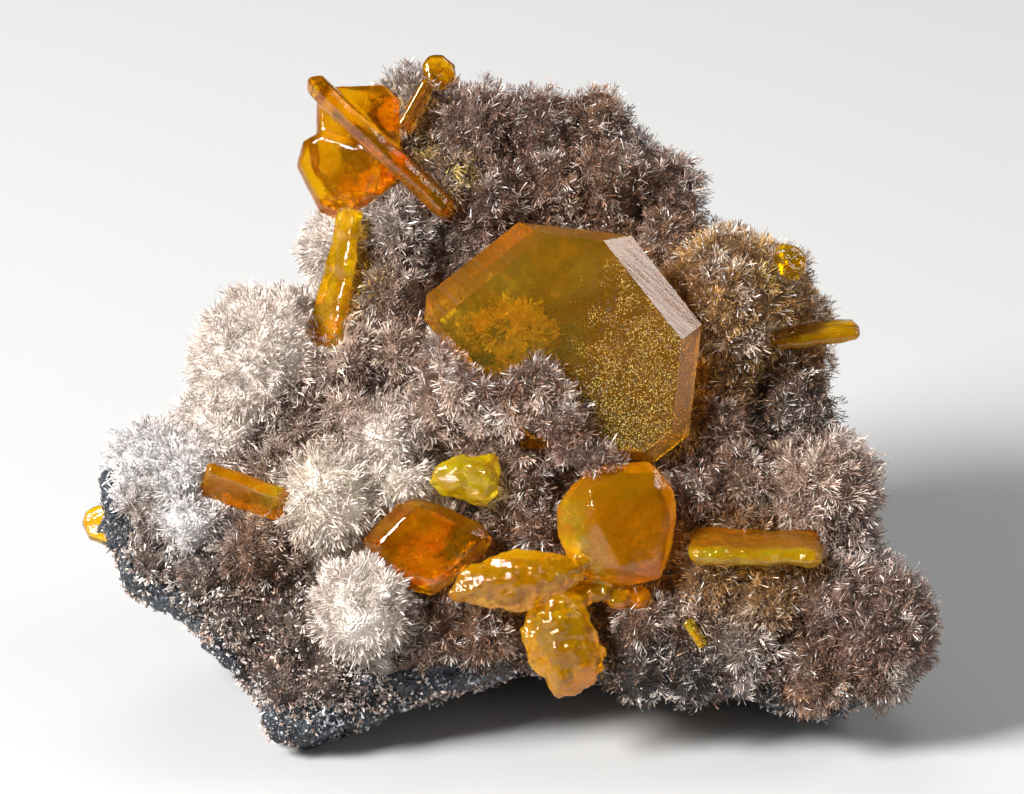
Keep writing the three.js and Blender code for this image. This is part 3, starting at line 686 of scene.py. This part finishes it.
# needles that don't run through the rock or a crystal, or hide a crystal from the front
def clearOf(roots, tips, hideCrystals):
    ends, middles = fromFace(tips), fromFace((roots + 2 * tips) / 3)
    keep = ends[:, 2] > clearance["floor"] * mm
    low, high = np.array(cadBounds)
    keep &= ((ends > low - clearance["box"] * mm) & (ends < high + clearance["box"] * mm)).all(1)
    keep &= outsideOf(rockFineTree, ends)
    for name, tree in crystalTrees.items():
        low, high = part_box(name)
        for spots in (ends, middles):
            near = ((spots > np.array(low) - mm) & (spots < np.array(high) + mm)).all(1) & keep
            at = np.flatnonzero(near)
            keep[at[~outsideOf(tree, spots[at])]] = False
    if not hideCrystals:
        under = np.flatnonzero(keep)
        keep[under[beneathTablet(ends[under])]] = False
        at = np.flatnonzero(keep & (rng.random(len(keep)) > strayShare))
        keep[at[crystalsBehind(ends[at], openCrystals, clearance["view"])]] = False
    return keep


def growNeedles():
    batches, free = [], []
    for tip, axis, kind in zip(*tuftPlaces()):
        look = tones[kind]
        if noise.noise(Vector(tip / 2.3)) > look["holes"] + 0.2 * rng.random():
            continue  # a hole in the crust
        reach = look["reach"] * (0.8 + 0.4 * rng.random())
        batches.append(tuftNeedles(tip, axis, look, colourAt(tip), reach))
        nearFront = any(np.linalg.norm(tip - centres[k]) < reaches[k] + 1 for k in frontSprays)
        free.append(np.full(len(batches[-1][0]), nearFront))
    for tufts, axis in ((overTufts, np.array([-0.1, 0.1, 1])), (underTufts, np.array([0.0, 0.2, 1]))):
        axis = axis / np.linalg.norm(axis)
        for u, v, w, size, kind in tufts:
            look = tones[kind]
            way = unit(directions(size, look["gap"]) * 0.7 + axis)
            way = way[way @ axis > 0.1]
            for out in way[spacedOut(way * size, look["gap"])]:
                tip = np.array([u, v, w]) + out * size * (0.8 + 0.3 * rng.random())
                batches.append(tuftNeedles(tip, out, look, look["colour"], min(size * 0.8, 1.1)))
                free.append(np.ones(len(batches[-1][0]), bool))
    roots, tips, wide, shades, gloss = [np.concatenate(part) for part in zip(*batches)]
    free = np.concatenate(free)
    keep = np.zeros(len(roots), bool)
    keep[free] = clearOf(roots[free], tips[free], True)
    keep[~free] = clearOf(roots[~free], tips[~free], False)
    return roots[keep], tips[keep], wide[keep], shades[keep], gloss[keep]


roots, tips, wide, shades, gloss = growNeedles()
print("stage: needles,", len(roots))

regions = {
    "needles_left": lambda u, v: (u < -12) & (v > -10),
    "needles_top": lambda u, v: (u >= -12) & (v > 11),
    "needles_middle": lambda u, v: (u >= -12) & (u < 9) & (v <= 11) & (v > -10),
    "needles_right": lambda u, v: (u >= 9) & (v <= 11) & (v > -10),
    "needles_lower_left": lambda u, v: (u < 4) & (v <= -10),
    "needles_lower_right": lambda u, v: (u >= 4) & (v <= -10),
}
for name, within in regions.items():
    chosen = within(tips[:, 0], tips[:, 1])
    needlePiece(name, roots[chosen], tips[chosen], wide[chosen], shades[chosen], gloss[chosen])

grainLook = {
    "density": 10, "length": (0.2, 0.62), "halfWidth": (0.07, 0.17), "lean": 0.55, "sunk": 0.25,
    "pink": (0.40, 0.31, 0.27), "grey": (0.26, 0.27, 0.30),
}
frostLook = {
    "tries": 30000, "u": (-2, 14), "v": (-6, 12), "most": 0.55,
    "length": (0.02, 0.06), "halfWidth": (0.018, 0.05), "lean": 0.5, "sunk": 0.06,
    "gold": (0.82, 0.49, 0.09), "pale": (0.9, 0.76, 0.42), "paleFrom": 0.88,
}


# stubby grains on the bare rock, in patches
def growGrains(look):
    places, normals = scatterOn(rock.data, look["density"])
    face = toFace(places)
    below = np.clip((bareLineAt(face) + 3 - face[:, 1]) / 2, 0, 1)
    patch = noiseAt(face, 3.1) + 0.6 * noiseAt(face, 1.2)
    front = face[:, 2] > -8
    share = np.where(front, np.clip(0.22 + 1.9 * patch, 0.03, 0.9) * below,
                     np.clip(0.9 * patch - 0.1, 0, 0.4))
    keep = (rng.random(len(face)) < share) & (places[:, 2] > 0.7 * mm) & (coverAt(face) < 0.9)
    face, normals = face[keep], normals[keep] @ faceAxes.T
    way = unit(normals + look["lean"] * rng.normal(size=(len(face), 3)))
    tips = face + way * rng.uniform(*look["length"], (len(face), 1))
    colours = np.where(noiseAt(face, 2.2, 9)[:, None] > -0.1, [look["pink"]], [look["grey"]])
    colours = colours * np.exp(0.55 * rng.normal(size=(len(face), 1)))
    return (face - way * look["sunk"], tips, rng.uniform(*look["halfWidth"], len(face)),
            np.clip(colours, 0.02, 0.9), rng.random(len(face)))


# the golden frosting of tiny grains on the large tablet, towards its right and lower edges
def growFrost(look):
    spots, normals = [], []
    across, up = rng.uniform(*look["u"], look["tries"]), rng.uniform(*look["v"], look["tries"])
    for u, v in zip(across, up):
        share = (0.92 * u - 0.38 * v - 2.8) / 6.5 + 0.9 * noise.noise(Vector((u / 1.4, v / 1.4, 3)))
        if rng.random() > min(share, look["most"]):
            continue
        spot, normal, index, distance = crystalTrees["tablet_large"].ray_cast(
            Vector(fromFace([u, v, raysFrom])), -rockFacing)
        if spot is not None and normal.dot(rockFacing) > 0.97:
            spots.append(spot[:])
            normals.append(normal[:])
    face, normals = toFace(spots), np.array(normals) @ faceAxes.T
    way = unit(normals + look["lean"] * rng.normal(size=(len(face), 3)))
    colours = np.array(look["gold"]) * np.exp(0.45 * rng.normal(size=(len(face), 1)))
    colours[rng.random(len(face)) > look["paleFrom"]] = look["pale"]
    tips = face + way * rng.uniform(*look["length"], (len(face), 1))
    return (face - way * look["sunk"], tips, rng.uniform(*look["halfWidth"], len(face)),
            np.clip(colours, 0.02, 0.9), rng.random(len(face)))


grains = zip(growGrains(grainLook), growFrost(frostLook))
needlePiece("grains", *[np.concatenate(part) for part in grains])

# the crust's inner body, painted dark as a mottled painted shade where it shows between the needles,
# and pale where crystals sit on it: paler crust there, partly painted light that comes through them
coreLook = {
    "inset": 0.85, "voxel": 0.57, "thickness": 0.45, "sunk": 0.9, "bump": (0.8, 0.22),
    # painted shade: this cloud darkens the core where it shows between the needles
    "cloud": [(0.3, (0.07, 0.045, 0.035)), (0.5, (0.22, 0.165, 0.13)), (0.7, (0.6, 0.52, 0.46))],
    # under the crystals the core is paler crust, partly painted light standing in for light through them
    "pale": (0.95, 0.92, 0.89, 1), "paleAndLitSeat": (0.85, 0.72, 0.48, 1),
}


def coreMaterial(look):
    material, tree, shader = newMaterial("core")
    place = placeOf(tree)
    shade = addNode(tree, "ShaderNodeAttribute", {"attribute_name": "shade"}).outputs
    cloud = useGroup(tree, mottle, Place=place, Size=1.0, Detail=5.0, Rough=0.7)["Height"]
    # painted shade: the mottled cloud darkens the core, as shade between the needles
    tint = useGroup(tree, crustTint, Shade=shade["Color"], Fade=ramp(tree, cloud, look["cloud"]),
                    Pale=look["pale"])["Colour"]
    # paler under the crystals: pale crust, partly painted light that comes through them
    paint = colourMix(tree, shade["Alpha"], tint, look["paleAndLitSeat"])
    tree.links.new(paint, shader.inputs["Base Color"])
    shader.inputs["Roughness"].default_value = 0.55
    bumpOn(tree, shader, useGroup(tree, specks, Place=place, Size=0.24)["Height"], 0.8, 0.3)
    return material


# one skin round all the sprays and the crust on the rock
def coreSkin(look):
    parts = []
    for k, centre in enumerate(centres):
        bpy.ops.mesh.primitive_ico_sphere_add(subdivisions=4, radius=1)
        ball = bpy.context.object
        way = readPoints(ball.data)
        writePoints(ball.data, fromFace(centre + way * (ballRadius(k, way) - look["inset"])[:, None]))
        parts.append(ball)
    skin = bpy.data.objects.new("skin", nodes["host_rock"].data.copy())
    scene.collection.objects.link(skin)
    points = readPoints(skin.data)
    lift = (look["thickness"] + look["sunk"]) * coverAt(toFace(points)) - look["sunk"]
    writePoints(skin.data, points + readNormals(skin.data) * lift[:, None] * mm)
    parts.append(skin)
    bpy.ops.object.select_all(action="DESELECT")
    for part in parts:
        part.select_set(True)
    bpy.context.view_layer.objects.active = skin
    bpy.ops.object.join()
    whole = skin.data.copy()
    bpy.data.objects.remove(skin)
    return remeshed("spray_core", whole, look["voxel"])


# moves the skin behind the crystals, so that none of it shows in front, and tells where they sit
def seatCrystals(face, normals):
    paleAndLitSeat = np.zeros(len(face))
    for name, tree in crystalTrees.items():
        large = name == "tablet_large"
        for i in range(len(face)):
            behind = Vector(fromFace([face[i, 0], face[i, 1], -40]))
            back = tree.ray_cast(behind, rockFacing, 90 * mm)[0]
            if back:
                depth = toFace(back[:])[2]
                if face[i, 2] > depth - 0.3 and normals[i] @ faceAxes[2] > -0.6:
                    face[i, 2] = min(face[i, 2], depth - (1.2 if large else 0.35))
                    # how pale the core is painted there: paler crust, partly painted light through the
                    # crystal, paler towards the large tablet's left
                    paleAndLitSeat[i] = np.clip((3.5 - face[i, 0]) / 5, 0.3, 0.9) if large else 1
    return paleAndLitSeat


def buildCore(look):
    mesh = coreSkin(look)
    points, normals = readPoints(mesh), readNormals(mesh)
    size, height = look["bump"]
    push = height * noiseAt(points, size * mm)
    face = toFace(points + normals * push[:, None] * mm)
    paleAndLitSeat = seatCrystals(face, normals)
    moved = fromFace(face)
    moved[:, 2] = np.maximum(moved[:, 2], 0.4 * mm)
    writePoints(mesh, moved)
    paintPoints(mesh, np.concatenate([sprayShares(face) @ sprayColours, paleAndLitSeat[:, None]], axis=1))
    core = pieceFrom("spray_core", mesh, coreMaterial(look))
    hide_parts("spray_crust")
    return core


core = buildCore(coreLook)
print("stage: core,", len(core.data.polygons), "faces")


# orange crystals: see-through, with clouds, flecks, warmer zones and etched ones
def crystalMaterial(name, look):
    material, tree, shader = newMaterial(name)
    shader.inputs["Transmission Weight"].default_value = look["clear"]
    shader.inputs["IOR"].default_value = 1.6
    shader.inputs["Specular IOR Level"].default_value = look["shine"]
    place = placeOf(tree)
    warm, etch = attributeOf(tree, "warm"), attributeOf(tree, "etch")
    body = useGroup(tree, mottle, Place=place, Size=look["cloud"])["Mask"]
    flecks = useGroup(tree, mottle, Place=place, Size=0.4, Detail=3.0, Low=0.52, High=0.72)["Mask"]
    paint = colourMix(tree, body, (*look["deep"], 1), (*look["light"], 1))
    for key, share, most in (("fleck", flecks, look["flecks"]), ("warm", warm, 0.8),
                             ("etched", etch, 0.6)):
        if key in look:
            share = mathOf(tree, "MULTIPLY", share, most)
            paint = colourMix(tree, share, paint, (*look[key], 1))
    waves = useGroup(tree, mottle, Place=place, Size=look["ripple"], Low=0.42, High=0.66)
    pits = useGroup(tree, mottle, Place=place, Size=0.22, Detail=2.0)["Height"]
    smooth, dull = look["rough"]
    rough = addNode(tree, "ShaderNodeMapRange", None, {
        "Value": waves["Mask"], "To Min": smooth, "To Max": dull}).outputs["Result"]
    pitted = addNode(tree, "ShaderNodeMath", {"operation": "MULTIPLY_ADD"}, {0: etch, 1: 0.6, 2: 0.5})
    height = mathOf(tree, "ADD", waves["Height"], mathOf(tree, "MULTIPLY", pits, pitted.outputs[0]))
    if "frost" in look:
        paint, rough, height = frostOver(tree, place, look, paint, rough, height)
    tree.links.new(paint, shader.inputs["Base Color"])
    tree.links.new(rough, shader.inputs["Roughness"])
    bumpOn(tree, shader, height, look["bump"], 0.4)
    inner = addNode(tree, "ShaderNodeVolumeAbsorption", None, {
        "Color": (*look["inner"], 1), "Density": look["density"]})
    tree.links.new(inner.outputs["Volume"], tree.nodes["Material Output"].inputs["Volume"])
    return material


# the large tablet: frosted towards its lower right, with painted glints on its frost grains and growth
# lines along its slanted edges
def frostOver(tree, place, look, paint, rough, height):
    turned = addNode(tree, "ShaderNodeVectorRotate", {"rotation_type": "X_AXIS"}, {
        "Vector": place, "Center": tuple(faceMiddle * mm), "Angle": lean - math.pi / 2})
    moved = addNode(tree, "ShaderNodeVectorMath", {"operation": "SUBTRACT"}, {
        0: turned.outputs["Vector"], 1: tuple(faceMiddle * mm)}).outputs["Vector"]
    uneven = useGroup(tree, mottle, Place=place, Size=2.5)["Height"]
    ragged = mathOf(tree, "ADD", dotOf(tree, moved, (0.92, -0.38, 0)),
                    mathOf(tree, "MULTIPLY", uneven, 6 * mm))
    zone = mask(tree, ragged, 3 * mm, 9 * mm)
    bevel = attributeOf(tree, "bevel")
    grains = useGroup(tree, specks, Place=place, Size=0.3, Share=0.55)
    frost = mathOf(tree, "MULTIPLY", zone, mathOf(tree, "SUBTRACT", 1.0, bevel))
    paintedGlintSpots = mathOf(tree, "MULTIPLY", frost, grains["Mask"])
    paint = colourMix(tree, bevel, paint, (*look["edge"], 1))
    paint = colourMix(tree, mathOf(tree, "MULTIPLY", frost, 0.8), paint, (*look["frost"], 1))
    # painted glints: near-white specks on the frost grains
    paint = colourMix(tree, paintedGlintSpots, paint, (*look["paintedGlint"], 1))
    stretch = addNode(tree, "ShaderNodeCombineXYZ", None, {
        0: mathOf(tree, "MULTIPLY", dotOf(tree, moved, (0.67, 0.74, 0)), 2.4),
        1: mathOf(tree, "MULTIPLY", dotOf(tree, moved, (0.74, -0.67, 0)), 0.12)})
    lines = addNode(tree, "ShaderNodeTexNoise", None, {
        "Vector": stretch.outputs["Vector"], "Scale": 1 / mm, "Detail": 4.0}).outputs["Fac"]
    stripe = mathOf(tree, "MULTIPLY", bevel, mask(tree, lines, 0.46, 0.6))
    for share, much in ((frost, 0.16), (bevel, 0.06), (stripe, 0.12)):
        rough = mathOf(tree, "ADD", rough, mathOf(tree, "MULTIPLY", share, much))
    for share, much, wave in ((bevel, 5.0, lines), (frost, -12.0, grains["Height"])):
        height = mathOf(tree, "ADD", height, mathOf(
            tree, "MULTIPLY", wave, mathOf(tree, "MULTIPLY", share, much)))
    return paint, rough, height


# absorbed per metre: density times what each channel of the inner colour lacks
amber = crystalMaterial("amber", {
    "clear": 0.955, "shine": 0.35, "cloud": 3.4, "ripple": 3.0, "bump": 0.10, "rough": (0.015, 0.05),
    "deep": (0.92, 0.58, 0.05), "light": (1.0, 0.76, 0.09), "fleck": (0.95, 0.62, 0.1), "flecks": 0.25,
    # the last colour here is painted as glints on the frost grains
    "edge": (1.0, 0.52, 0.06), "frost": (0.86, 0.50, 0.07), "paintedGlint": (1.0, 0.96, 0.7),
    "inner": (0.999, 0.972, 0.4), "density": 1100})
orange = crystalMaterial("orange", {
    "clear": 0.89, "shine": 0.22, "cloud": 1.8, "ripple": 1.6, "bump": 0.22, "rough": (0.01, 0.045),
    "deep": (1.0, 0.46, 0.008), "light": (1.0, 0.70, 0.015), "fleck": (1.0, 0.82, 0.08), "flecks": 0.5,
    "warm": (1.0, 0.42, 0.004), "etched": (1.0, 0.50, 0.006), "inner": (0.9998, 0.978, 0.3),
    "density": 1000})
deepOrange = crystalMaterial("deepOrange", {
    "clear": 0.945, "shine": 0.3, "cloud": 2.2, "ripple": 1.8, "bump": 0.16, "rough": (0.015, 0.06),
    "deep": (0.80, 0.31, 0.006), "light": (0.94, 0.52, 0.012), "fleck": (0.95, 0.6, 0.04), "flecks": 0.3,
    "inner": (0.999, 0.964, 0.3), "density": 1100})
yellow = crystalMaterial("yellow", {
    "clear": 0.87, "shine": 0.35, "cloud": 1.1, "ripple": 0.9, "bump": 0.3, "rough": (0.01, 0.06),
    "deep": (1.0, 0.54, 0.004), "light": (1.0, 0.82, 0.01), "fleck": (1.0, 0.95, 0.15), "flecks": 0.6,
    "warm": (0.74, 0.24, 0.006), "etched": (1, 0.78, 0.01), "inner": (0.9995, 0.988, 0.4),
    "density": 900})
golden = crystalMaterial("golden", {
    "clear": 0.91, "shine": 0.3, "cloud": 1.3, "ripple": 1.1, "bump": 0.25, "rough": (0.015, 0.07),
    "deep": (0.98, 0.46, 0.006), "light": (1.0, 0.68, 0.012), "fleck": (1.0, 0.86, 0.1), "flecks": 0.5,
    "warm": (0.88, 0.36, 0.005), "inner": (0.9995, 0.982, 0.35), "density": 1000})
# worn crystals: material, voxel, rounds of smoothing, and bumps [width, height], all in millimetres
wornLooks = {
    "tablet_amber": [deepOrange, 0.19, 3, [(2.2, 0.14), (0.9, 0.05)]],
    "rosette_lower": [orange, 0.17, 2, [(2.4, 0.08), (0.8, 0.03)]],
    "cluster_upper_left": [deepOrange, 0.2, 2, [(2.2, 0.07), (0.8, 0.02)]],
    "crystal_yellow": [yellow, 0.16, 3, [(1.3, 0.2), (0.6, 0.07)]],
    "blade_left_upper": [golden, 0.15, 3, [(1.6, 0.2), (0.7, 0.08)]],
    "blade_right": [yellow, 0.16, 2, [(2.2, 0.26), (0.7, 0.08)]],
    "blade_left": [orange, 0.16, 2, [(2.0, 0.22), (0.7, 0.07)]],
    "crystal_left_edge": [orange, 0.16, 3, [(1.4, 0.14), (0.6, 0.04)]],
    "blade_upper_small": [deepOrange, 0.14, 3, [(1.2, 0.06), (0.5, 0.03)]],
    "crystal_top": [deepOrange, 0.13, 3, [(1.0, 0.08), (0.5, 0.03)]],
    "crystal_right_upper": [orange, 0.13, 3, [(1.0, 0.12), (0.5, 0.05)]],
    "blade_right_edge": [golden, 0.14, 3, [(1.8, 0.18), (0.7, 0.06)]],
    "splinter_lower_right": [yellow, 0.11, 2, [(0.8, 0.05)]],
}
etchedFrom = 10.9  # how far down the display face the rosette's lower crystals are etched
etchCreases = [(1.7, 0.34), (0.8, 0.2)]  # width and depth


# how etched and how warm in colour a crystal is at places given in the face's frame, from 0 to 1
def wornZones(name, face):
    u, v = face[:, 0], face[:, 1]
    etch, warm = np.zeros(len(face)), np.zeros(len(face))
    if name == "rosette_lower":
        etch = np.clip((-v - etchedFrom) / 1.4, 0, 1) * (u < 7 - 0.3 * (v + 13))
        warm = np.clip(((u - 6.4) * 0.9 + (v + 9) * 0.42) * 0.9 + 0.7, 0, 1) * (1 - etch)
    elif name == "crystal_yellow":
        etch += 0.5
    elif name == "blade_right":  # its upper face
        warm = np.clip((v + 11.2) * 2.5, 0, 1)
        etch = 0.4 * (1 - warm)
    elif name == "blade_left":  # its far end
        warm = np.clip((-19 - u) * 0.5, 0, 1)
    elif name in ("blade_right_edge", "crystal_right_upper"):
        warm += 0.4
    return etch, warm


def wornCrystal(name, material, voxel, smoothing, bumps):
    mesh = remeshed(name + "_fine", nodes[name].data.copy(), voxel, smoothing)
    points, normals = readPoints(mesh), readNormals(mesh)
    etch, warm = wornZones(name, toFace(points))
    push = 0.04 + np.zeros(len(points))
    for size, height in bumps:
        push += height * noiseAt(points, size * mm) * (1 + 0.8 * etch)
    crease = sum(depth * np.abs(noiseAt(points, size * mm)) for size, depth in etchCreases)
    push += 1.5 * etch * (0.1 - crease)
    moved = points + normals * push[:, None] * mm
    moved[:, 2] = np.maximum(moved[:, 2], 0)
    writePoints(mesh, moved)
    markPoints(mesh, "etch", etch)
    markPoints(mesh, "warm", warm)
    return pieceFrom(name + "_fine", mesh, material)


def largeTablet():
    tablet = pieceFrom("tablet_large_fine", nodes["tablet_large"].data.copy(), amber, smooth=False)
    facing = np.array([abs((np.array(p.normal) @ faceAxes.T)[2]) for p in tablet.data.polygons])
    bevels = tablet.data.attributes.new("bevel", "FLOAT", "FACE")
    bevels.data.foreach_set("value", np.where(facing < 0.97, 1.0, 0.0))
    edge = tablet.modifiers.new("edge", "BEVEL")
    edge.width = 0.12 * mm
    edge.segments = 3
    edge.limit_method = "ANGLE"
    edge.angle_limit = math.radians(12)
    return tablet


crystals = {"tablet_large": largeTablet()}
for name, look in wornLooks.items():
    crystals[name] = wornCrystal(name, *look)
for name, crystal in crystals.items():
    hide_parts(name)
print("stage: crystals,", sum(len(crystal.data.polygons) for crystal in crystals.values()), "faces")

# the solids carry the materials of what stands in for them
for name, node in nodes.items():
    node.data.materials.clear()
    node.data.materials.append(
        rock.data.materials[0] if name == "host_rock" else
        core.data.materials[0] if name == "spray_crust" else crystals[name].data.materials[0])

# floor, lights, camera
floorPaint, tree, shader = newMaterial("floor")
shader.inputs["Base Color"].default_value = (0.44, 0.436, 0.43, 1)
shader.inputs["Roughness"].default_value = 0.8
bpy.ops.mesh.primitive_plane_add(size=8, location=(0, 0, 0))
floor = bpy.context.object
floor.name = "floor"
floor.data.materials.append(floorPaint)


def softBox(name, place, size, power, mirrored):
    light = bpy.data.lights.new(name, "AREA")
    light.shape = "RECTANGLE"
    light.size, light.size_y = size
    light.energy = power
    obj = bpy.data.objects.new(name, light)
    scene.collection.objects.link(obj)
    obj.location = place
    obj.rotation_euler = (middle - Vector(place)).to_track_quat("-Z", "Y").to_euler()
    obj.visible_glossy = mirrored


middle = Vector(fromFace([0.16, 1.04, 3]))  # what the lights and the camera aim at
lights = {  # place and size in metres, watts, and whether the crystals mirror it
    "key": [(-0.46, -0.28, 0.46), (0.22, 0.22), 13, True],
    "rim": [(0.48, 0.065, 0.39), (0.22, 0.22), 1.1, True],
    "top": [(-0.05, 0.28, 0.62), (0.4, 0.3), 1.3, False],
    "side": [(0.55, -0.42, 0.22), (0.3, 0.3), 0.9, False],
}
for name, look in lights.items():
    softBox(name, *look)
world = bpy.data.worlds.new("studio")
scene.world = world
world.use_nodes = True
world.cycles_visibility.glossy = False  # no pale sky mirrored in the crystals
sky = world.node_tree.nodes["Background"]
sky.inputs["Color"].default_value = (0.88, 0.92, 1, 1)
sky.inputs["Strength"].default_value = 0.16
scene.view_settings.view_transform = "Standard"

camera = bpy.data.objects.new("camera", bpy.data.cameras.new("camera"))
scene.collection.objects.link(camera)
camera.data.lens = 200
camera.data.sensor_width = 36
camera.data.clip_start = 0.01
camera.data.clip_end = 20
camera.location = middle + rockFacing * 0.455
camera.rotation_euler = (-rockFacing).to_track_quat("-Z", "Y").to_euler()
scene.camera = camera

print("stage: done")
